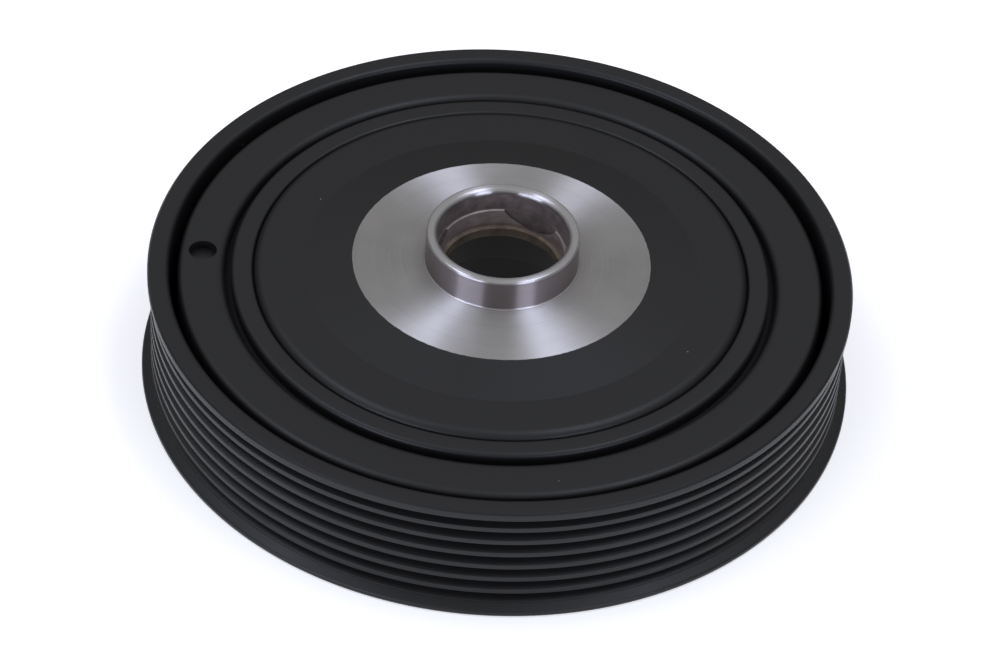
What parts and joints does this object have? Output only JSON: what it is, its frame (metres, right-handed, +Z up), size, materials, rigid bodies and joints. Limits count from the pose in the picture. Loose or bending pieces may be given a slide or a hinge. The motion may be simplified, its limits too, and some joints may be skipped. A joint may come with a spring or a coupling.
{
  "type": "crankshaft pulley",
  "caption": "Crankshaft pulley with a rubber-bonded torsional damper ring, a multi-vee belt track and a polished seal neck.",
  "frame": {"origin": "on the shaft axis, in the plane of the belt pulley's front edge", "axes": "+Z along the shaft axis towards the engine, the side with the seal neck; +Z is up as the pulley lies"},
  "size_m": [0.156, 0.156, 0.0381],
  "materials": {
    "hub_metal": "satin black paint, with bare turned steel-grey flange, neck and bore",
    "painted_steel": "satin black paint",
    "painted_iron": "satin black paint",
    "damper_rubber": "matte black rubber"
  },
  "bodies": {
    "root": {"hub": "hub_metal", "damper_sleeve": "painted_steel", "damper_rubber": "damper_rubber", "inertia_ring": "painted_iron", "belt_pulley": "painted_steel"}
  },
  "joints": []
}
